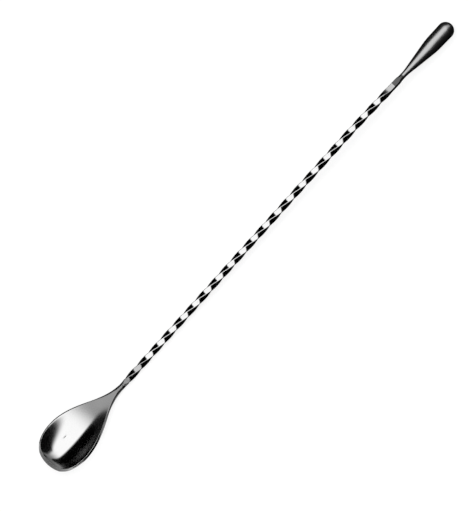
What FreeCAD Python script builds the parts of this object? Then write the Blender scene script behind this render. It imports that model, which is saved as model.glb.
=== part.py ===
import FreeCAD, Part

import math
import os

# Bar spoon: a pressed steel bowl, a twisted square stem and a solid teardrop weight,
# joined by two welds that are ground flush. Lengths in millimetres, angles in degrees.
#
# The spoon is drawn along its stem. x runs from the tip of the rim to the weight,
# z = 0 is the stem's axis, and the bowl opens towards +z. At the end it is laid down
# as it rests on a table: on the underside of the bowl and on the weight.

# Stem
stemSide = 3.2  # across the flats of the square bar
stemCorner = 0.45  # radius along the bar's four edges
stemStart = 59.0  # from the tip of the rim to the bar's first shoulder
stemLength = 229.0  # from shoulder to shoulder, along the bar
twistStart = 0.7  # from the first shoulder to the start of the twist
twistLead = 38.8  # length of one full turn in the first part of the twist
twistLeadFar = 40.9  # length of one full turn in the rest, towards the weight
twistChange = 127.0  # from the start of the twist to the change of lead
twistPlainFar = 10.2  # from the end of the twist to the second shoulder
twistEase = 0.7  # half the length over which the twist starts and ends
stationsPerTurn = 16  # sections that the skin passes through, in each turn
blendStations = 4  # and in each of the two blends at the ends
stemStartBlend = 2.4  # length over which the round end at the neck turns square
stemEndBlend = 4.0  # length over which the square bar turns round at the weight
stemEndRound = 0.97  # of the bar's half side, radius along its edges at both ends

# Bowl
bowlWidth = 27.9  # across the top edge of the rim at its widest
bowlWidest = 15.5  # from the tip of the rim to its widest place
bowlTipLength = 2.25  # length over which the tip rounds off
bowlDepth = 6.5  # of the hollow below the rim, at the widest place
bowlStraighten = 9.6  # from the middle to where the section turns straight
bowlWall = 1.6  # thickness of the sheet
bowlEdge = 0.2  # radius along both edges of the rim
bowlRise = 6.6  # height of the rim's tip above the top of the neck
bowlRiseCurve = 1.15  # power that keeps the rim level near the neck
hollowRunOut = 26.0  # length before the neck's end over which the hollow runs out
neckThicken = 18.0  # length before the neck's end over which the sheet thickens
neckPlain = 2.0  # length at the neck's end with the stem's own height
neckFlare = 0.03  # how fast the round end opens into the neck, with distance squared

# Weight
weightThroat = 2.2  # from the weld to the start of the taper
weightTaper = 20.8  # length of the taper
weightShoulderRadius = 4.6  # where the taper meets the barrel
weightBarrel = 11.6  # from there to the centre of the round end
weightEndRadius = 4.78
throatBend = 30.0  # radius of the hollow between throat and taper
shoulderBend = 45.0  # radius between taper and barrel

# Joints between the stem and its two ends
spigotDiameter = 1.7  # the bar's ends are turned down to round spigots
neckSpigot = 5.5  # length of the spigot in the neck, beyond the weld
weightSpigot = 8.0  # length of the spigot in the weight, beyond the weld
socketClearance = 0.05  # all round a spigot
socketRelief = 0.4  # between a spigot's end and the bottom of its socket
weldWidth = 0.8  # of each flush weld

# Droop of the bar's far end, which brings the weight down to the table
droopBefore = 52.4  # from the start of the bend to the second shoulder
droopLength = 24.4  # length of the bend
droopAngle = 4.6

stemHalf = stemSide / 2
bowlHalf = bowlWidth / 2
neckEnd = stemStart - weldWidth
twistEnd = stemLength - twistPlainFar
droopStart = stemLength - droopBefore
socketRadius = spigotDiameter / 2 + socketClearance
alongX = FreeCAD.Vector(1, 0, 0)


def vector(x, y, z):
    return FreeCAD.Vector(x, y, z)


def ease(u):
    # Goes smoothly from 0 to 1 while u goes from 0 to 1.
    u = min(max(u, 0.0), 1.0)
    return u * u * u * (10 - 15 * u + 6 * u * u)


# The bar's axis: straight, then a gentle bend down, then straight again.


def axisSlope(along):
    u = min(max((along - droopStart) / droopLength, 0.0), 1.0)
    return math.radians(droopAngle) * u


def axisPoint(along):
    radius = droopLength / math.radians(droopAngle)
    slope = axisSlope(along)
    bent = radius * slope
    past = max(along - droopStart - droopLength, 0.0)
    x = stemStart + along - bent - past + radius * math.sin(slope)
    z = -radius * (1 - math.cos(slope))
    return vector(x + past * math.cos(slope), 0, z - past * math.sin(slope))


def putOnAxis(shape, along):
    # Moves a shape drawn from the origin along +x to its place on the bar's axis.
    shape.rotate(vector(0, 0, 0), vector(0, 1, 0), math.degrees(axisSlope(along)))
    shape.translate(axisPoint(along))
    return shape


# Stem


def easedRamp(distance, rate):
    # Angle gained past a point where turning sets in at this rate, without a jolt.
    if distance <= -twistEase:
        return 0.0
    if distance >= twistEase:
        return rate * distance
    return rate * (distance + twistEase) ** 2 / (4 * twistEase)


def turnAt(along):
    rate = 360 / twistLead
    rateFar = 360 / twistLeadFar
    past = along - twistStart
    angle = easedRamp(past, rate)
    angle += easedRamp(past - twistChange, rateFar - rate)
    return angle - easedRamp(along - twistEnd, rateFar)


def cornerAt(along):
    # The bar's edges round off fully towards the weld at each end.
    atStart = ease(1 - along / stemStartBlend)
    atEnd = ease((along - stemLength + stemEndBlend) / stemEndBlend)
    return stemCorner + (stemEndRound * stemHalf - stemCorner) * (atStart + atEnd)


def stations():
    # Evenly spaced, and closer together where the bar turns from round to square.
    plain = stemLength - stemStartBlend - stemEndBlend
    count = math.ceil(plain * stationsPerTurn / twistLead)
    end = stemLength - stemEndBlend
    places = [stemStartBlend * index / blendStations for index in range(blendStations)]
    places += [stemStartBlend + plain * index / count for index in range(count)]
    places += [end + stemEndBlend * index / blendStations for index in range(blendStations)]
    return places + [stemLength]


def onBar(along, across, up, quarter):
    # Where a point of the square section lies once the bar is twisted and bent.
    turn = math.radians(turnAt(along) - 90 * quarter)
    y = across * math.cos(turn) - up * math.sin(turn)
    z = across * math.sin(turn) + up * math.cos(turn)
    slope = axisSlope(along)
    return axisPoint(along) + vector(z * math.sin(slope), y, z * math.cos(slope))


def rail(quarter, angle, reach):
    # Curve along one of the bar's four edges, at an angle round the edge's radius.
    # Its reach is 1 on the skin, and more for the control points of an arc.
    places = stations()
    points = []
    for along in places:
        corner = cornerAt(along)
        flat = stemHalf - corner
        across = flat + corner * reach * math.sin(angle)
        up = flat + corner * reach * math.cos(angle)
        points.append(onBar(along, across, up, quarter))
    curve = Part.BSplineCurve()
    curve.interpolate(Points=points, Parameters=places)
    return curve


def strip(rails, weights):
    # Surface between rails: straight across with two, a true arc across with three.
    first = rails[0]
    degree = len(rails) - 1
    surface = Part.BSplineSurface()
    surface.buildFromPolesMultsKnots(
        [curve.getPoles() for curve in rails],
        [degree + 1, degree + 1],
        first.getMultiplicities(),
        [0, 1],
        first.getKnots(),
        False,
        False,
        degree,
        first.Degree,
        [[weight] * first.NbPoles for weight in weights],
    )
    return surface


def barSurfaces():
    # Three narrow strips round each edge of the bar, and one for each flat.
    strips = 3
    half = math.pi / 4 / strips
    surfaces = []
    for quarter in range(4):
        edge = rail(quarter, 0, 1)
        for index in range(strips):
            start = 2 * half * index
            middle = rail(quarter, start + half, 1 / math.cos(half))
            end = rail(quarter, start + 2 * half, 1)
            surfaces.append(strip([edge, middle, end], [1, math.cos(half), 1]))
            edge = end
        surfaces.append(strip([edge, rail(quarter + 1, 0, 1)], [1, 1]))
    return surfaces


def makeStem():
    surfaces = barSurfaces()
    faces = [surface.toShape() for surface in surfaces]
    for along in (0, stemLength):
        edges = [surface.vIso(along).toShape() for surface in surfaces]
        faces.append(Part.Face(Part.Wire(edges)))
    skin = Part.makeShell(faces)
    skin.sewShape()
    bar = Part.Solid(skin)
    radius = spigotDiameter / 2
    near = vector(neckEnd - neckSpigot, 0, 0)
    nearSpigot = Part.makeCylinder(radius, neckSpigot + weldWidth, near, alongX)
    farSpigot = Part.makeCylinder(radius, weldWidth + weightSpigot, vector(0, 0, 0), alongX)
    return bar.fuse([nearSpigot, putOnAxis(farSpigot, stemLength)])


# Bowl. The sheet's top is a height over the plan. Across, it is a hyperbola, round in the
# middle and nearly straight at the rim. Its curve and the rim's outline are formulas, so
# that the hollow runs out smoothly into the neck.


def halfWidthSquared(x):
    u = min((x - bowlWidest) / (neckEnd - bowlWidest), 1.0)
    full = stemHalf + (bowlHalf - stemHalf) * (1 + math.cos(math.pi * u)) / 2
    return full * full * (1 - math.exp(-x / bowlTipLength))


def rimHeight(x):
    u = min(max(1 - x / neckEnd, 0.0), 2.0)
    return stemHalf + bowlRise * math.sin(math.pi * u / 2) ** bowlRiseCurve


def sideRise(square):
    # How the section rises with the square of the distance from the middle.
    turn = bowlStraighten ** 2
    return 2 * turn * (math.sqrt(1 + max(square, 0) / turn) - 1) + min(square, 0)


def crossCurve(x):
    strength = bowlDepth / sideRise(bowlHalf ** 2)
    return strength * ease((neckEnd - neckPlain - x) / hollowRunOut)


def thickness(x):
    u = (x - neckEnd + neckThicken) / (neckThicken - neckPlain)
    return bowlWall + (stemSide - bowlWall) * ease(u)


def topHeight(x, y):
    return rimHeight(x) + crossCurve(x) * (sideRise(y * y) - sideRise(halfWidthSquared(x)))


def topNormal(x, y):
    h = 0.01
    alongSlope = (topHeight(x + h, y) - topHeight(x - h, y)) / (2 * h)
    acrossSlope = (topHeight(x, y + h) - topHeight(x, y - h)) / (2 * h)
    return vector(-alongSlope, -acrossSlope, 1).normalize()


def bottomHeight(x, y):
    return topHeight(x, y) - thickness(x) / topNormal(x, y).z


def heightFace(height, margin):
    # One smooth face that reaches past the blank's outline on every side.
    rows = []
    columns = 8
    count = 28
    for i in range(count + 1):
        x = -margin + (neckEnd + 2 * margin) * i / count
        taper = 1 - ease((x - bowlWidest) / (neckEnd - bowlWidest))
        reach = stemHalf + margin + (bowlHalf - stemHalf) * taper
        row = []
        for j in range(columns + 1):
            y = reach * (2 * j / columns - 1)
            row.append(vector(x, y, height(x, y)))
        rows.append(row)
    surface = Part.BSplineSurface()
    surface.interpolate(rows)
    return surface.toShape()


def rimFace():
    # The edge of the sheet, square to its top all round. It runs out past the neck's
    # end and stands clear above and below, as a cutter does.
    clear = 1.5
    past = 4.5
    rows = [[], []]
    count = 36
    for i in range(-count, count + 1):
        q = i / count
        x = (neckEnd + past) * q * q
        y = math.copysign(math.sqrt(max(halfWidthSquared(x), 0.0)), q)
        top = vector(x, y, topHeight(x, y))
        normal = topNormal(x, y)
        rows[0].append(top + normal * clear)
        rows[1].append(top - normal * (thickness(x) + clear))
    upper = Part.BSplineCurve()
    upper.interpolate(rows[0])
    lower = Part.BSplineCurve()
    lower.interpolate(rows[1])
    return Part.makeRuledSurface(upper.toShape(), lower.toShape())


def makeFlare():
    # A turned body, as slim as the stem at the neck's end, that opens like a trumpet
    # and holds the rest of the bowl. What it shares with the bowl has a round end.
    count = 24
    points = []
    for index in range(count + 1):
        back = (neckEnd + bowlHalf) * (index / count) ** 2
        points.append(vector(neckEnd - back, 0, stemHalf + neckFlare * back * back))
    curve = Part.BSplineCurve()
    curve.interpolate(points)
    start = vector(neckEnd, 0, 0)
    mouth = vector(points[-1].x, 0, 0)
    edges = [
        Part.LineSegment(start, points[0]).toShape(),
        curve.toShape(),
        Part.LineSegment(points[-1], mouth).toShape(),
        Part.LineSegment(mouth, start).toShape(),
    ]
    return Part.Face(Part.Wire(edges)).revolve(start, alongX, 360)


def makeBowl():
    # The lower block is a little larger than the upper, so that no sides coincide.
    margin = 3.0
    deep = 30.0
    underTop = heightFace(topHeight, margin).extrude(vector(0, 0, -deep))
    underBottom = heightFace(bottomHeight, margin + 1).extrude(vector(0, 0, -2 * deep))
    sheet = underTop.cut(underBottom)
    pieces, _ = sheet.generalFuse([rimFace()])
    middle = vector(bowlWidest, 0, topHeight(bowlWidest, 0) - bowlWall / 2)
    blank = [s for s in pieces.Solids if s.isInside(middle, 0.01, True)][0]
    past = Part.makeBox(deep, deep, deep, vector(neckEnd, -deep / 2, -deep / 2))
    blank = blank.cut(past)
    longEdges = [e for e in blank.Edges if e.Length > neckEnd]
    rounded = blank.makeFillet(bowlEdge, longEdges).common(makeFlare())
    depth = neckSpigot + socketRelief
    bore = Part.makeCylinder(socketRadius, depth, vector(neckEnd - depth, 0, 0), alongX)
    return rounded.cut(bore)


# Weight, a body turned about the bar's axis


def bendPoints(before, corner, after, radius):
    # Start, middle and end of the arc that rounds off a corner of the profile.
    back = (before - corner).normalize()
    ahead = (after - corner).normalize()
    half = back.getAngle(ahead) / 2
    reach = radius / math.tan(half)
    inward = (back + ahead).normalize()
    middle = corner + inward * (radius / math.sin(half) - radius)
    return corner + back * reach, middle, corner + ahead * reach


def makeWeight():
    throat = vector(0, 0, stemHalf)
    taperStart = vector(weightThroat, 0, stemHalf)
    shoulder = vector(weightThroat + weightTaper, 0, weightShoulderRadius)
    centre = vector(shoulder.x + weightBarrel, 0, 0)
    # The barrel's line touches the circle of the round end.
    away = shoulder - centre
    lean = math.atan2(away.z, away.x)
    touch = lean - math.acos(weightEndRadius / away.Length)
    barrelEnd = centre + vector(math.cos(touch), 0, math.sin(touch)) * weightEndRadius
    endMiddle = centre + vector(math.cos(touch / 2), 0, math.sin(touch / 2)) * weightEndRadius
    tip = centre + vector(weightEndRadius, 0, 0)
    a1, a2, a3 = bendPoints(throat, taperStart, shoulder, throatBend)
    b1, b2, b3 = bendPoints(taperStart, shoulder, barrelEnd, shoulderBend)
    start = vector(0, 0, 0)
    edges = [
        Part.LineSegment(start, throat).toShape(),
        Part.LineSegment(throat, a1).toShape(),
        Part.Arc(a1, a2, a3).toShape(),
        Part.LineSegment(a3, b1).toShape(),
        Part.Arc(b1, b2, b3).toShape(),
        Part.LineSegment(b3, barrelEnd).toShape(),
        Part.Arc(barrelEnd, endMiddle, tip).toShape(),
        Part.LineSegment(tip, start).toShape(),
    ]
    profile = Part.Face(Part.Wire(edges))
    body = profile.revolve(start, alongX, 360)
    socket = Part.makeCylinder(socketRadius, weightSpigot + socketRelief, start, alongX)
    body = body.cut(socket)
    body.translate(vector(weldWidth, 0, 0))
    return putOnAxis(body, stemLength)


# Welds, each a flush ring round a spigot and between two faces


def makeWeld(start):
    ring = Part.makeCylinder(stemHalf, weldWidth, start, alongX)
    return ring.cut(Part.makeCylinder(spigotDiameter / 2, weldWidth, start, alongX))


def makeNeckWeld():
    return makeWeld(vector(neckEnd, 0, 0))


def makeWeightWeld():
    return putOnAxis(makeWeld(vector(0, 0, 0)), stemLength)


# The whole spoon, laid down on a table


def lowest(shape, pitch):
    turned = shape.copy()
    turned.rotate(vector(0, 0, 0), vector(0, 1, 0), pitch)
    return turned.optimalBoundingBox(True, False).ZMin


def restPitch(bowl, weight):
    # The pitch at which bowl and weight reach equally low, by halving.
    low, high = -5.0, 5.0
    while high - low > 0.00005:
        pitch = (low + high) / 2
        if lowest(bowl, pitch) < lowest(weight, pitch):
            low = pitch
        else:
            high = pitch
    return pitch


def layDown(nodes):
    pitch = restPitch(nodes["spoon_bowl"], nodes["teardrop_weight"])
    for shape in nodes.values():
        shape.rotate(vector(0, 0, 0), vector(0, 1, 0), pitch)
    box = Part.makeCompound(list(nodes.values())).optimalBoundingBox(True, False)
    for shape in nodes.values():
        shape.translate(vector(-(box.XMin + box.XMax) / 2, 0, -box.ZMin))
    return pitch


def main():
    nodes = {
        "spoon_bowl": makeBowl(),
        "neck_weld": makeNeckWeld(),
        "twisted_stem": makeStem(),
        "weight_weld": makeWeightWeld(),
        "teardrop_weight": makeWeight(),
    }
    pitch = layDown(nodes)
    os.makedirs("parts", exist_ok=True)
    for name, shape in nodes.items():
        shape.exportStep("parts/" + name + ".step")
        box = shape.optimalBoundingBox(True, False)
        print(name, len(shape.Solids), shape.isValid(), round(shape.Volume, 1), box)
    print("pitch at rest", round(pitch, 3))


main()
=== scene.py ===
import math

import bmesh
import bpy
from mathutils import Matrix, Vector


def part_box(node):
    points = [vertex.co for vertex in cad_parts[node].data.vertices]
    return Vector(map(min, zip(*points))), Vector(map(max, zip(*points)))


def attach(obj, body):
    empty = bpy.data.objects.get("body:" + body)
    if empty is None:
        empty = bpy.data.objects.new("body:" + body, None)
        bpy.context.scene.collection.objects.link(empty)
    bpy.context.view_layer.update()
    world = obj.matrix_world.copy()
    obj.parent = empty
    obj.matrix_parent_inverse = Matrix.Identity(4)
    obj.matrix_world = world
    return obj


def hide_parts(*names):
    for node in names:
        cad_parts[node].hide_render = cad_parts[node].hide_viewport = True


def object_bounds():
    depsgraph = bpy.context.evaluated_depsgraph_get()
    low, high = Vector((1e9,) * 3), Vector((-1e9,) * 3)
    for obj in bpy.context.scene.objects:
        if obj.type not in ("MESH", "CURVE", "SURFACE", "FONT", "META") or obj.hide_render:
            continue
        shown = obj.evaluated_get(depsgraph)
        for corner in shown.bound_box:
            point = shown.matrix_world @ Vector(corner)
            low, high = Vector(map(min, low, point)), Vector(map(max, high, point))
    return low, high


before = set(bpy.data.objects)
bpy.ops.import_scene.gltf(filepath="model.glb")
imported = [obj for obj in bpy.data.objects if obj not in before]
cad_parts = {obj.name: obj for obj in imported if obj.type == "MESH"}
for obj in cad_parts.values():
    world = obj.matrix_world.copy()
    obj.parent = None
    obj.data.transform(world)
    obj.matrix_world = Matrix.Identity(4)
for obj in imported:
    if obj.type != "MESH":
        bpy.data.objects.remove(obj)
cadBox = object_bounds()
print("frame loaded")

# The spoon is drawn along its stem in millimetres, x from the tip of the bowl's rim to
# the weight, and layDown brings each finished mesh into the frame, in metres.


class Value:
    # An output socket that takes part in Python sums, each of which adds a Math node.
    def __init__(self, graph, socket):
        self.graph = graph
        self.socket = socket

    def __add__(self, other):
        return self.graph.math("ADD", self, other)

    def __radd__(self, other):
        return self.graph.math("ADD", other, self)

    def __sub__(self, other):
        return self.graph.math("SUBTRACT", self, other)

    def __rsub__(self, other):
        return self.graph.math("SUBTRACT", other, self)

    def __mul__(self, other):
        return self.graph.math("MULTIPLY", self, other)

    def __rmul__(self, other):
        return self.graph.math("MULTIPLY", other, self)

    def __truediv__(self, other):
        return self.graph.math("DIVIDE", self, other)

    def __rtruediv__(self, other):
        return self.graph.math("DIVIDE", other, self)


class Graph:
    # A node tree, with one way of adding a node and short names for common maths.
    def __init__(self, tree):
        self.tree = tree

    def node(self, kind, settings=None, sockets=None):
        made = self.tree.nodes.new(kind)
        for name, value in (settings or {}).items():
            setattr(made, name, value)
        for key, value in (sockets or {}).items():
            if isinstance(value, Value):
                self.tree.links.new(value.socket, made.inputs[key])
            else:
                made.inputs[key].default_value = value
        return made

    def out(self, kind, settings=None, sockets=None, output=0):
        return Value(self, self.node(kind, settings, sockets).outputs[output])

    def math(self, operation, *values):
        sockets = dict(enumerate(values))
        return self.out("ShaderNodeMath", {"operation": operation}, sockets)

    def sine(self, angle):
        return self.math("SINE", angle)

    def cosine(self, angle):
        return self.math("COSINE", angle)

    def clamp(self, value, low, high):
        return self.math("MINIMUM", self.math("MAXIMUM", value, low), high)

    def ease(self, share):
        u = self.clamp(share, 0, 1)
        return u * u * u * (10 - 15 * u + 6 * u * u)

    def split(self, vector):
        made = self.node("ShaderNodeSeparateXYZ", {}, {0: vector})
        return [Value(self, output) for output in made.outputs]

    def join(self, x, y, z):
        return self.out("ShaderNodeCombineXYZ", {}, {0: x, 1: y, 2: z})


def meshObject(name, mesh):
    piece = bpy.data.objects.new(name, mesh)
    bpy.context.scene.collection.objects.link(piece)
    return piece


def skin(name, rings, capStart, capEnd):
    # A closed skin through rings of points. A ring may close up to a line or a point.
    build = bmesh.new()
    made = [[build.verts.new(point) for point in ring] for ring in rings]
    count = len(rings[0])
    for ring, following in zip(made, made[1:]):
        for i in range(count):
            j = (i + 1) % count
            face = build.faces.new((ring[i], ring[j], following[j], following[i]))
            face.smooth = True
    if capStart:
        build.faces.new(list(reversed(made[0])))
    if capEnd:
        build.faces.new(made[-1])
    bmesh.ops.remove_doubles(build, verts=build.verts, dist=1e-5)
    bmesh.ops.recalc_face_normals(build, faces=build.faces)
    mesh = bpy.data.meshes.new(name)
    build.to_mesh(mesh)
    build.free()
    return mesh


def ease(u):
    u = min(max(u, 0.0), 1.0)
    return u * u * u * (10 - 15 * u + 6 * u * u)


# Stem: a square bar, twisted, with a slight droop towards the weight

stem = {
    "side": 3.2,
    "edgeRadius": 0.36,
    "start": 59.0,  # from the tip of the rim to the bar's first shoulder
    "length": 229.0,
    "twistStart": 0.7,
    "twistLead": 38.8,  # length of one turn, as far as the change
    "twistLeadFar": 40.9,  # and beyond it
    "twistChange": 127.0,
    "twistPlainFar": 10.2,
    "twistEase": 0.7,
    "roundStart": 2.4,  # over which the bar's round end at the neck turns square
    "roundEnd": 4.0,  # and over which it turns round again at the weight
    "roundShare": 0.97,
    "bendBefore": 52.4,
    "bendLength": 24.4,
    "bendAngle": 4.6,  # degrees
    "stations": 640,
    "sectionPoints": 80,
}

weld = {
    "width": 0.8,
    "bore": 1.7,
    "around": 96,
}


def barSlope(along):
    begin = stem["length"] - stem["bendBefore"]
    u = min(max((along - begin) / stem["bendLength"], 0), 1)
    return math.radians(stem["bendAngle"]) * u


def barPoint(along):
    begin = stem["length"] - stem["bendBefore"]
    radius = stem["bendLength"] / math.radians(stem["bendAngle"])
    slope = barSlope(along)
    past = max(along - begin - stem["bendLength"], 0)
    x = stem["start"] + along - radius * slope - past + radius * math.sin(slope)
    z = -radius * (1 - math.cos(slope))
    return Vector((x + past * math.cos(slope), 0, z - past * math.sin(slope)))


def barPlace(along):
    # Brings what is drawn from the origin along x to its place on the bar's axis.
    turn = Matrix.Rotation(barSlope(along), 4, "Y")
    return Matrix.Translation(barPoint(along)) @ turn


def middleOf(node):
    low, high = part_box(node)
    return (low + high) / 2


def findLayDown():
    # The two welds' middles are known in the drawing and in the frame.
    near = Vector((stem["start"] - weld["width"] / 2, 0, 0))
    far = barPoint(stem["length"] + weld["width"] / 2)
    drawn = far - near
    placed = middleOf("weight_weld") - middleOf("neck_weld")
    pitch = math.atan2(drawn.z, drawn.x) - math.atan2(placed.z, placed.x)
    turn = Matrix.Rotation(pitch, 4, "Y") @ Matrix.Scale(0.001, 4)
    return Matrix.Translation(middleOf("neck_weld")) @ turn @ Matrix.Translation(-near)


layDown = findLayDown()


def twistedBarTree(material):
    # A cylinder's skin, moved ring by ring onto the twisted and bent square section.
    tree = bpy.data.node_groups.new("twistedBar", "GeometryNodeTree")
    tree.interface.new_socket("Geometry", in_out="OUTPUT", socket_type="NodeSocketGeometry")
    for name in stem:
        kind = "NodeSocketInt" if name in ("stations", "sectionPoints") else "NodeSocketFloat"
        tree.interface.new_socket(name, in_out="INPUT", socket_type=kind)
    graph = Graph(tree)
    given = graph.node("NodeGroupInput")
    size = {name: Value(graph, given.outputs[name]) for name in stem}

    cylinder = graph.node("GeometryNodeMeshCylinder", {"fill_type": "NGON"}, {
        "Vertices": size["sectionPoints"],
        "Side Segments": size["stations"],
        "Radius": 1,
        "Depth": size["length"],
    })
    x, y, z = graph.split(graph.out("GeometryNodeInputPosition"))
    along = z + size["length"] / 2

    # Where on the section: each quarter is an edge's arc and then a flat.
    around = graph.math("ARCTAN2", y, x) * (-2 / math.pi)
    quarter = graph.math("FLOOR", around)
    share = around - quarter
    half = size["side"] / 2
    atStart = graph.ease(1 - along / size["roundStart"])
    atEnd = graph.ease((along - size["length"] + size["roundEnd"]) / size["roundEnd"])
    edge = size["edgeRadius"]
    corner = edge + (size["roundShare"] * half - edge) * (atStart + atEnd)
    flat = half - corner
    angle = graph.clamp(2 * share, 0, 1) * (math.pi / 2)
    across = flat + corner * graph.sine(angle)
    up = flat + corner * graph.cosine(angle) - graph.clamp(4 * share - 2, 0, 2) * flat

    # How far the bar has turned there
    def ramp(distance, rate):
        into = graph.clamp(distance + size["twistEase"], 0, 2 * size["twistEase"])
        past = graph.math("MAXIMUM", distance - size["twistEase"], 0)
        return rate * (into * into / (4 * size["twistEase"]) + past)

    rate = 2 * math.pi / size["twistLead"]
    rateFar = 2 * math.pi / size["twistLeadFar"]
    begun = along - size["twistStart"]
    turn = ramp(begun, rate) + ramp(begun - size["twistChange"], rateFar - rate)
    turn = turn - ramp(along - size["length"] + size["twistPlainFar"], rateFar)
    turn = turn - quarter * (math.pi / 2)
    sideways = across * graph.cosine(turn) - up * graph.sine(turn)
    upright = across * graph.sine(turn) + up * graph.cosine(turn)

    # Where the bent axis is there
    bendAngle = graph.math("RADIANS", size["bendAngle"])
    radius = size["bendLength"] / bendAngle
    intoBend = along - size["length"] + size["bendBefore"]
    bent = graph.clamp(intoBend, 0, size["bendLength"])
    past = graph.math("MAXIMUM", intoBend - size["bendLength"], 0)
    slope = bent / radius
    sine, cosine = graph.sine(slope), graph.cosine(slope)
    axisX = size["start"] + along - bent - past + radius * sine + past * cosine
    axisZ = radius * (cosine - 1) - past * sine

    place = graph.join(axisX + upright * sine, sideways, axisZ + upright * cosine)
    moved = graph.out("GeometryNodeSetPosition", {}, {
        "Geometry": Value(graph, cylinder.outputs["Mesh"]),
        "Position": place,
    })
    flatEnds = graph.out("GeometryNodeSetShadeSmooth", {}, {
        "Geometry": moved,
        "Shade Smooth": Value(graph, cylinder.outputs["Side"]),
    })
    whole = graph.out("GeometryNodeRealizeInstances", {}, {"Geometry": flatEnds})
    dressed = graph.out("GeometryNodeSetMaterial", {}, {"Geometry": whole, "Material": material})
    graph.node("NodeGroupOutput", {}, {"Geometry": dressed})
    return tree


def makeStem(material):
    grower = meshObject("twistedStemGrower", bpy.data.meshes.new("twistedStemGrower"))
    tree = twistedBarTree(material)
    modifier = grower.modifiers.new("twistedBar", "NODES")
    modifier.node_group = tree
    for item in tree.interface.items_tree:
        if item.in_out == "INPUT":
            modifier[item.identifier] = stem[item.name]
    ready = grower.evaluated_get(bpy.context.evaluated_depsgraph_get())
    mesh = bpy.data.meshes.new_from_object(ready)
    bpy.data.objects.remove(grower)
    mesh.transform(layDown)
    piece = meshObject("twistedStem", mesh)
    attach(piece, "root")
    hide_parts("twisted_stem")
    print("stem", len(mesh.polygons), "faces")
    return piece


# Bowl: a pressed sheet that runs out into the neck

bowl = {
    "width": 27.9,  # across the top edge of the rim
    "widest": 15.5,
    "tipLength": 2.25,
    "depth": 6.5,
    "straighten": 9.6,  # from the middle to where the section turns from curved to straight
    "wall": 1.6,
    "edgeRadius": 0.13,  # along both edges of the rim
    "neckRadius": 1.5,  # of the same edges, at the neck's end
    "neckRounding": 30.0,  # length over which they grow to it
    "lip": 0.08,  # how much the hollow's slope eases at the rim
    "lipReach": 4.0,
    "rise": 6.6,
    "riseCurve": 1.15,
    "runOut": 26.0,
    "thicken": 18.0,
    "neckPlain": 2.0,
    "flare": 0.03,  # how fast the neck's round end opens, with distance squared
    "rows": 150,
    "columns": 56,
    "edgeSteps": 8,
}
neckEnd = stem["start"] - weld["width"]


def halfWidthSquared(x):
    u = min((x - bowl["widest"]) / (neckEnd - bowl["widest"]), 1)
    narrow = stem["side"] / 2
    full = narrow + (bowl["width"] / 2 - narrow) * (1 + math.cos(math.pi * u)) / 2
    return full * full * (1 - math.exp(-x / bowl["tipLength"]))


def sideRise(square):
    # How the section rises with the square of the distance from the middle.
    turn = bowl["straighten"] ** 2
    return 2 * turn * (math.sqrt(1 + max(square, 0) / turn) - 1) + min(square, 0)


def crossCurve(x):
    strength = bowl["depth"] / sideRise((bowl["width"] / 2) ** 2)
    return strength * ease((neckEnd - bowl["neckPlain"] - x) / bowl["runOut"])


def thickness(x):
    u = (x - neckEnd + bowl["thicken"]) / (bowl["thicken"] - bowl["neckPlain"])
    return bowl["wall"] + (stem["side"] - bowl["wall"]) * ease(u)


def sheetHeight(x, y):
    u = min(max(1 - x / neckEnd, 0), 2)
    rim = stem["side"] / 2 + bowl["rise"] * math.sin(math.pi * u / 2) ** bowl["riseCurve"]
    return rim + crossCurve(x) * (sideRise(y * y) - sideRise(halfWidthSquared(x)))


def topHeight(x, y):
    halfSquared = max(halfWidthSquared(x), 1e-6)
    inward = max(halfSquared - y * y, 0) / (2 * math.sqrt(halfSquared))
    share = ease((neckEnd - bowl["neckPlain"] - x) / bowl["runOut"])
    lip = bowl["lip"] * share * inward * math.exp(-inward / bowl["lipReach"])
    return sheetHeight(x, y) + lip


def sheetNormal(x, y):
    h = 0.01
    slopeAlong = (sheetHeight(x + h, y) - sheetHeight(x - h, y)) / (2 * h)
    slopeAcross = (sheetHeight(x, y + h) - sheetHeight(x, y - h)) / (2 * h)
    return Vector((-slopeAlong, -slopeAcross, 1)).normalized()


def bottomHeight(x, y):
    return sheetHeight(x, y) - thickness(x) / sheetNormal(x, y).z


def edgeRadius(x):
    share = ease((x - neckEnd + bowl["neckRounding"]) / bowl["neckRounding"])
    return bowl["edgeRadius"] + (bowl["neckRadius"] - bowl["edgeRadius"]) * share


def rimPoint(q):
    # q runs from 0 at the tip to 1 at the neck's end, and below 0 along the other side.
    x = neckEnd * q * q
    y = math.copysign(math.sqrt(max(halfWidthSquared(x), 0)), q)
    return Vector((x, y, topHeight(x, y)))


def onSurface(height, corner, inward):
    # The point of a surface that lies one edge radius inward from a corner.
    aside = corner + inward * edgeRadius(corner.x)
    return Vector((aside.x, aside.y, height(aside.x, aside.y)))


def roundCorner(before, corner, after):
    # Points along the arc that is tangent at both ends, by a rational curve.
    steps = bowl["edgeSteps"]
    half = (before - corner).angle(after - corner) / 2
    weight = math.sin(half)
    points = []
    for i in range(steps + 1):
        u = i / steps
        a, b, c = (1 - u) ** 2, 2 * weight * u * (1 - u), u * u
        points.append((before * a + corner * b + after * c) / (a + b + c))
    return points


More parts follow.
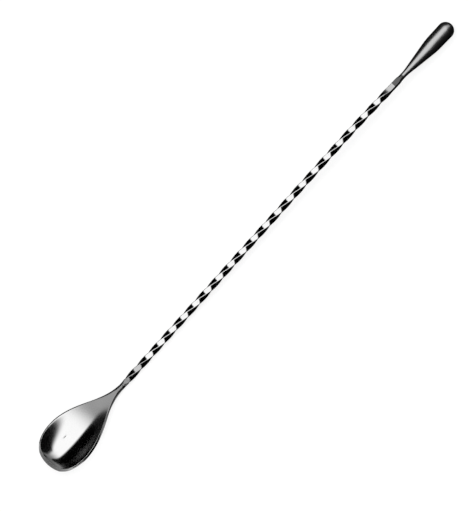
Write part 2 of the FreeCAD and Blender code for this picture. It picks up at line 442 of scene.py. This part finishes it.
def edgeProfile(q):
    # From the top, round the sheet's edge, to the bottom, on the side that q names.
    step = 1e-4
    top = rimPoint(q)
    tangent = (rimPoint(q + step) - rimPoint(q - step)).normalized()
    normal = sheetNormal(top.x, top.y)
    inward = normal.cross(tangent).normalized()
    if inward.dot(Vector((bowl["widest"], 0, 0)) - Vector((top.x, top.y, 0))) < 0:
        inward = -inward
    depth = thickness(top.x)
    for _ in range(8):
        below = top - normal * depth
        depth += (below.z - bottomHeight(below.x, below.y)) * normal.z
    bottom = top - normal * depth
    radius = edgeRadius(top.x)
    upper = roundCorner(onSurface(topHeight, top, inward), top, top - normal * radius)
    lower = roundCorner(bottom + normal * radius, bottom, onSurface(bottomHeight, bottom, inward))
    return upper + lower


def surfaceRow(height, first, last):
    # Across the sheet from one edge to the other, without the two ends.
    points = []
    for j in range(1, bowl["columns"]):
        x, y, _ = first.lerp(last, j / bowl["columns"])
        points.append(Vector((x, y, height(x, y))))
    return points


def withinFlare(point):
    # The neck's end is round, and slims no further than the sheet itself beyond it.
    back = neckEnd - point.x
    reach = stem["side"] / 2 + bowl["flare"] * back * back
    distance = math.hypot(point.y, point.z)
    share = min(reach / distance, 1) if distance > 0 else 1
    return Vector((point.x, point.y * share, point.z * share))


def makeBowl(material):
    rings = []
    for i in range(bowl["rows"] + 1):
        q = i / bowl["rows"]
        near = edgeProfile(q)
        far = [Vector((p.x, -p.y, p.z)) for p in near]
        ring = surfaceRow(topHeight, far[0], near[0]) + near
        ring += surfaceRow(bottomHeight, near[-1], far[-1]) + list(reversed(far))
        rings.append([withinFlare(point) for point in ring])
    mesh = skin("pressedBowl", rings, False, True)
    mesh.transform(layDown)
    mesh.materials.append(material)
    piece = meshObject("pressedBowl", mesh)
    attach(piece, "root")
    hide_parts("spoon_bowl")
    print("bowl", len(mesh.polygons), "faces")
    return piece


# Weight: a solid teardrop, turned about the bar's axis

weight = {
    "throat": 2.2,
    "taper": 20.8,
    "shoulderRadius": 4.6,
    "barrel": 11.6,
    "endRadius": 4.78,
    "throatBend": 30.0,
    "shoulderBend": 45.0,
    "around": 128,
    "arcSteps": 24,
}


def bend(before, corner, after, radius):
    # The arc of this radius that rounds off a corner of the profile.
    back = (before - corner).normalized()
    ahead = (after - corner).normalized()
    half = back.angle(ahead) / 2
    centre = corner + (back + ahead).normalized() * (radius / math.sin(half))
    reach = radius / math.tan(half)
    return arc(centre, corner + back * reach, corner + ahead * reach)


def arc(centre, start, end):
    a, b = start - centre, end - centre
    whole = a.angle(b)
    points = []
    for i in range(weight["arcSteps"] + 1):
        u = i / weight["arcSteps"]
        turned = (a * math.sin((1 - u) * whole) + b * math.sin(u * whole)) / math.sin(whole)
        points.append(centre + turned)
    return points


def weightProfile():
    throat = Vector((0, 0, stem["side"] / 2))
    taperStart = throat + Vector((weight["throat"], 0, 0))
    shoulder = Vector((weight["throat"] + weight["taper"], 0, weight["shoulderRadius"]))
    centre = Vector((shoulder.x + weight["barrel"], 0, 0))
    away = shoulder - centre
    lean = math.atan2(away.z, away.x)
    touch = lean - math.acos(weight["endRadius"] / away.length)
    barrelEnd = centre + Vector((math.cos(touch), 0, math.sin(touch))) * weight["endRadius"]
    tip = centre + Vector((weight["endRadius"], 0, 0))
    points = [throat]
    points += bend(throat, taperStart, shoulder, weight["throatBend"])
    points += bend(taperStart, shoulder, barrelEnd, weight["shoulderBend"])
    return points + arc(centre, barrelEnd, tip)


def turnedRings(profile, around):
    rings = []
    for point in profile:
        ring = []
        for i in range(around):
            angle = 2 * math.pi * i / around
            ring.append(Vector((point.x, -point.z * math.sin(angle), point.z * math.cos(angle))))
        rings.append(ring)
    return rings


def makeWeight(material):
    rings = turnedRings(weightProfile(), weight["around"])
    mesh = skin("teardropWeight", rings, True, False)
    mesh.transform(Matrix.Translation((weld["width"], 0, 0)))
    mesh.transform(barPlace(stem["length"]))
    mesh.transform(layDown)
    mesh.materials.append(material)
    piece = meshObject("teardropWeight", mesh)
    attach(piece, "root")
    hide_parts("teardrop_weight")
    print("weight", len(mesh.polygons), "faces")
    return piece


def makeWeld(name, replaced, place, material):
    # A flush ring of weld metal, open in the middle for the bar's spigot.
    outer, inner = stem["side"] / 2, weld["bore"] / 2
    corners = [(0, inner), (0, outer), (weld["width"], outer), (weld["width"], inner)]
    profile = [Vector((x, 0, z)) for x, z in corners + corners[:1]]
    mesh = skin(name, turnedRings(profile, weld["around"]), False, False)
    mesh.set_sharp_from_angle(angle=math.radians(40))
    mesh.transform(place)
    mesh.transform(layDown)
    mesh.materials.append(material)
    piece = meshObject(name, mesh)
    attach(piece, "root")
    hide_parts(replaced)
    print(name, len(mesh.polygons), "faces")


# Finishes: roughness and polishing lines, and colours darker than bare steel that paint shade

polish = {
    "colour": 0.56,
    "roughness": 0.07,
    "haze": 0.035,  # how much the roughness varies over the surface
    "scratch": 0.04,  # strength of the fine polishing lines
}
wiped = {
    "colour": 0.56,
    "roughness": 0.1,
    "haze": 0.04,
    "scratch": 0.06,
}
# Painted shade at the bowl's tip: a colour far darker than steel greys its reflection; a little
# rougher too
tipPaintedShade = {
    "colour": 0.2,
    "roughness": 0.2,
    "haze": 0.04,
    "scratch": 0.06,
}
# Bar's first turn: slightly dull, and its darker colour is painted shade that dims the reflection
dulledAndPaintedShade = {
    "colour": 0.34,
    "roughness": 0.12,
    "haze": 0.05,
    "scratch": 0.1,
}
# Neck and bar's start: matt, and its dark colour is painted shade
mattAndPaintedShade = {
    "colour": 0.19,
    "roughness": 0.28,
    "haze": 0.06,
    "scratch": 0.15,
}
# Weight and bar's end: satin, and its darker colour is painted shade
satinAndPaintedShade = {
    "colour": 0.37,
    "roughness": 0.31,
    "haze": 0.04,
    "scratch": 0.12,
}
# Weld and joint: ground, and its near-black colour is painted shade
groundAndPaintedShade = {
    "colour": 0.1,
    "roughness": 0.42,
    "haze": 0.08,
    "scratch": 0.3,
}
grain = {
    "lineScale": 900,  # of the noise that makes the polishing lines
    "lineDetail": 3,
    "lineDepth": 0.00002,  # metres
    "hazeScale": 120,  # of the broad noise that makes the haze
    "hazeDetail": 2,
    "toneChange": 0.06,  # how much the haze changes the colour, as a share of it
}
# Stretches that take the finishes above; each one's darker colour paints shade along its stretch
zones = {
    "tip": (-9.0, 3.5, 9.0),  # from, to, and the length of the change at each end
    "neck": (31.0, 80.0, 19.0),
    "barStart": (50.0, 63.0, 2.0),
    "firstTurn": (63.0, 77.5, 1.5),
    "barEnd": (274.0, 281.5, 1.5),
    "joint": (281.5, 300.0, 0.8),
}


def grey(level):
    return (level, level, level, 1)


def within(graph, x, zone):
    # 1 between the zone's ends, 0 away from them. The ends are millimetres along the drawing.
    start, end, change = zones[zone]
    near, far = [(layDown @ Vector((mm, 0, 0))).x for mm in (start, end)]
    into = (x - near) * (1000 / change) + 0.5
    left = (far - x) * (1000 / change) + 0.5
    return graph.ease(into) * graph.ease(left)


def steel(name, finish, stretch, others=()):
    # Bare steel. The stretch gives the direction in which the polishing lines run, and
    # others names the zones along the spoon that have another roughness and a darker
    # colour, which is painted shade.
    material = bpy.data.materials.new(name)
    material.use_nodes = True
    material.node_tree.nodes.clear()
    graph = Graph(material.node_tree)
    place = graph.out("ShaderNodeTexCoord", output="Object")
    lines = graph.out("ShaderNodeMapping", {}, {"Vector": place, "Scale": stretch})
    fine = graph.out("ShaderNodeTexNoise", {}, {
        "Vector": lines,
        "Scale": grain["lineScale"],
        "Detail": grain["lineDetail"],
    })
    broad = graph.out("ShaderNodeTexNoise", {}, {
        "Vector": place,
        "Scale": grain["hazeScale"],
        "Detail": grain["hazeDetail"],
    })
    colour, roughness, haze = finish["colour"], finish["roughness"], finish["haze"]
    x, _, _ = graph.split(place)
    for zone, other in others:
        share = within(graph, x, zone)
        # the zone's darker colour is painted shade; its roughness is the finish's own
        colour = colour + share * (other["colour"] - finish["colour"])
        roughness = roughness + share * (other["roughness"] - finish["roughness"])
        haze = haze + share * (other["haze"] - finish["haze"])
    tone = grain["toneChange"]
    level = colour * (1 - tone / 2 + tone * broad)
    bump = graph.out("ShaderNodeBump", {}, {
        "Strength": finish["scratch"],
        "Distance": grain["lineDepth"],
        "Height": fine,
    })
    shader = graph.out("ShaderNodeBsdfPrincipled", {}, {
        "Base Color": graph.join(level, level, level),
        "Metallic": 1,
        "Roughness": roughness + (broad + fine - 1) * haze,
        "Normal": bump,
    })
    graph.node("ShaderNodeOutputMaterial", {}, {"Surface": shader})
    return material


# Studio: a white softbox overhead, black cards all round that only gloss sees, a pale floor

studio = {
    "panelLevel": 1.7,  # how bright the middle of its face is
    "panelHeight": 0.8,
    "panelStart": -0.65,  # along the spoon, past the bowl
    "panelFade": 0.45,  # from there on it dims
    "panelHalved": 1.3,  # how much further on it is half as bright
    "panelEnd": 2.15,  # where it turns down to the floor
    "panelBend": 0.45,  # its two long edges slant as far as here
    "panelNear": (-0.76, 0.85),  # y of its near edge beside the bowl, and that edge's slope
    "panelFar": (0.58, 0.1),
    "panelSoft": 0.34,  # width over which its two long edges dim
    "roomReach": 2.8,  # from the spoon's middle to the black walls
    "clothTip": (-0.5, -0.167, 0.2),  # bare floor past the tip: x, x, and y to either side
    "clothSide": (-0.107, -0.05),  # bare floor beside the bowl: as far as x and y
    "fillLevel": 0.8,  # of the card that stands past the bowl's tip
    "fillCard": (-0.9, 1.2, 0.5),  # its x, its y to either side, its height
    "lensHole": (-0.13, -0.344, 0.03),  # place and radius of the hole for the camera
    "lensPoints": 24,
    "floorOwn": 0.8,  # what the floor shows of its own, beside the light it catches
    "floorColour": 0.3,
    "floorReach": 12,
    "black": 0.004,
    "clearance": 0.001,  # keeps cards that would touch apart
    "clothHeight": 0.0003,
    "sky": 0.1,
}


def plain(name, shader):
    material = bpy.data.materials.new(name)
    material.use_nodes = True
    material.node_tree.nodes.clear()
    graph = Graph(material.node_tree)
    graph.node("ShaderNodeOutputMaterial", {}, {"Surface": shader(graph)})
    return material


def sheetOf(name, corners, material):
    mesh = bpy.data.meshes.new(name)
    mesh.from_pydata(corners, [], [tuple(range(len(corners)))])
    mesh.materials.append(material)
    piece = meshObject(name, mesh)
    return piece


def shownInGloss(name, corners, material):
    card = sheetOf(name, corners, material)
    card.visible_camera = False
    card.visible_shadow = False
    return card


def seenWhite(graph):
    # 1 for what the camera, polished metal and glass see
    rays = graph.node("ShaderNodeLightPath")
    seen = [Value(graph, rays.outputs[n]) for n in ("Is Camera Ray", "Is Glossy Ray")]
    through = Value(graph, rays.outputs["Is Transmission Ray"])
    return graph.clamp(seen[0] + seen[1] + through, 0, 1)


def makeFloor():
    def shader(graph):
        own = graph.out("ShaderNodeEmission", {}, {
            "Color": grey(1),
            "Strength": seenWhite(graph) * studio["floorOwn"],
        })
        caught = graph.out("ShaderNodeBsdfDiffuse", {}, {"Color": grey(studio["floorColour"])})
        return graph.out("ShaderNodeAddShader", {}, {0: own, 1: caught})

    reach = studio["floorReach"]
    corners = [(-reach, -reach, 0), (reach, -reach, 0), (reach, reach, 0), (-reach, reach, 0)]
    sheetOf("floor", corners, plain("paleFloor", shader))


def makeCards():
    # Only what shines sees these: walls, a roof over the panel, and a cloth on the floor
    # that leaves it bare past the bowl's tip and on the bowl's near side.
    black = plain("blackCard", lambda graph: graph.out(
        "ShaderNodeBsdfDiffuse", {}, {"Color": grey(studio["black"])}))
    far = studio["roomReach"]
    low, high = studio["clothHeight"], studio["panelHeight"] + 2 * studio["clearance"]

    def level(z, fromX, fromY, toX, toY):
        return [(fromX, fromY, z), (toX, fromY, z), (toX, toY, z), (fromX, toY, z)]

    def upright(x, y, nextX, nextY):
        return [(x, y, low), (nextX, nextY, low), (nextX, nextY, high), (x, y, high)]

    start, tip, aside = studio["clothTip"]
    end, side = studio["clothSide"]
    cards = [
        level(high, -far, -far, far, far),
        level(low, -far, -far, start, far),
        level(low, start, -far, tip, -aside),
        level(low, start, aside, tip, far),
        level(low, tip, -far, end, side),
        level(low, tip, 0, end, far),
        level(low, end, -far, far, far),
        upright(-far, -far, far, -far),
        upright(far, -far, far, far),
        upright(far, far, -far, far),
        upright(-far, far, -far, -far),
    ]
    for corners in cards:
        card = shownInGloss("blackCard", corners, black)
        card.visible_diffuse = False


def makePanel():
    # A softbox whose face dims towards its far end, where it turns down to the floor.
    # Only what shines or takes light sees it.
    start, middle, end = studio["panelStart"], studio["panelBend"], studio["panelEnd"]
    high, soft = studio["panelHeight"], studio["panelSoft"]
    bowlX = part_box("spoon_bowl")[0].x

    def edgeAt(edge, slanted):
        y, slope = studio[edge]
        return y + slope * (slanted - bowlX)

    def shader(graph):
        x, y, _ = graph.split(graph.out("ShaderNodeTexCoord", output="Object"))
        slanted = graph.math("MINIMUM", x, middle)
        beyond = graph.math("MAXIMUM", x - studio["panelFade"], 0)
        level = studio["panelLevel"] / (1 + beyond / studio["panelHalved"])
        level = level * graph.ease((y - edgeAt("panelNear", slanted)) / soft + 0.5)
        level = level * graph.ease((edgeAt("panelFar", slanted) - y) / soft + 0.5)
        return graph.out("ShaderNodeEmission", {}, {"Color": graph.join(level, level, level)})

    def side(edge, out, z):
        return [(x, edgeAt(edge, min(x, middle)) + out, z) for x in (start, middle, end)]

    near = side("panelNear", -soft / 2, high)
    far = side("panelFar", soft / 2, high)
    low = (studio["clearance"],)
    face = plain("softboxFace", shader)
    shownInGloss("softbox", near + far[::-1], face)
    shownInGloss("softboxFoot", [near[2], far[2], far[2][:2] + low, near[2][:2] + low], face)


def makeLensHole():
    # What the camera looks through, as the bowl mirrors it
    x, y, radius = studio["lensHole"]
    z = studio["panelHeight"] - 2 * studio["clearance"]
    count = studio["lensPoints"]
    around = [2 * math.pi * i / count for i in range(count)]
    rim = [(x + radius * math.cos(a), y + radius * math.sin(a), z) for a in around]
    shownInGloss("lensHole", rim, bpy.data.materials["blackCard"])


def makeFillCard():
    pale = plain("fillCard", lambda graph: graph.out("ShaderNodeEmission", {}, {
        "Color": grey(1), "Strength": studio["fillLevel"]}))
    x, wide, high = studio["fillCard"]
    low = studio["clearance"]
    corners = [(x, -wide, low), (x, wide, low), (x, wide, high), (x, -wide, high)]
    shownInGloss("fillCard", corners, pale)


def makeWorld():
    world = bpy.data.worlds.new("studio")
    bpy.context.scene.world = world
    world.use_nodes = True
    world.node_tree.nodes.clear()
    graph = Graph(world.node_tree)
    seen = seenWhite(graph)
    shader = graph.out("ShaderNodeBackground", {}, {
        "Color": grey(1),
        "Strength": seen + (1 - seen) * studio["sky"],
    })
    graph.node("ShaderNodeOutputWorld", {}, {"Surface": shader})


# Camera

lookFrom = {
    "sensor": 36.0,
    "distance": 1.6,
    "tilt": 18.0,  # from overhead, towards -y
    "turn": 47.55,  # from the picture's level to the stem
    "coverage": 0.28293,  # height of what the picture shows, at the spoon
    "right": 0.00844,  # the spoon's middle, right of and above the picture's middle
    "above": 0.0065,
}


def makeCamera():
    tilt = math.radians(lookFrom["tilt"])
    turn = math.radians(lookFrom["turn"])
    back = Vector((0, -math.sin(tilt), math.cos(tilt)))
    along = Vector((1, 0, 0))
    aside = back.cross(along)
    right = along * math.cos(turn) - aside * math.sin(turn)
    up = along * math.sin(turn) + aside * math.cos(turn)
    data = bpy.data.cameras.new("camera")
    data.sensor_width = lookFrom["sensor"]
    data.lens = lookFrom["sensor"] * lookFrom["distance"] / lookFrom["coverage"]
    camera = meshObject("camera", data)
    low, high = cadBox
    aim = (low + high) / 2 - right * lookFrom["right"] - up * lookFrom["above"]
    camera.matrix_world = Matrix.LocRotScale(
        aim + back * lookFrom["distance"],
        Matrix((right, up, back)).transposed(),
        None,
    )
    bpy.context.scene.camera = camera


# Each material's zones, and the weight's and the weight weld's whole colour, hold painted shade
bowlSteelAndPaintedShade = steel("bowlSteelWithPaintedShade", wiped, (1, 1, 1), [("tip", tipPaintedShade), ("neck", mattAndPaintedShade)])
barSteelAndPaintedShade = steel("barSteelWithPaintedShade", polish, (0.05, 1, 1), [
    ("barStart", mattAndPaintedShade), ("firstTurn", dulledAndPaintedShade), ("barEnd", satinAndPaintedShade), ("joint", groundAndPaintedShade)])
weightSteelAndPaintedShade = steel("weightSteelWithPaintedShade", satinAndPaintedShade, (1, 0.1, 0.1))
weldSteelAndPaintedShade = steel("weldSteelWithPaintedShade", groundAndPaintedShade, (0.2, 1, 1))

makeBowl(bowlSteelAndPaintedShade)
makeStem(barSteelAndPaintedShade)
makeWeight(weightSteelAndPaintedShade)
atNeck = Matrix.Translation((neckEnd, 0, 0))
makeWeld("neckWeldRing", "neck_weld", atNeck, barSteelAndPaintedShade)
makeWeld("weightWeldRing", "weight_weld", barPlace(stem["length"]), weldSteelAndPaintedShade)
print("pieces made")

makeFloor()
makeCards()
makePanel()
makeLensHole()
makeFillCard()
makeWorld()
makeCamera()
bpy.context.scene.view_settings.view_transform = "Standard"
print("studio ready")
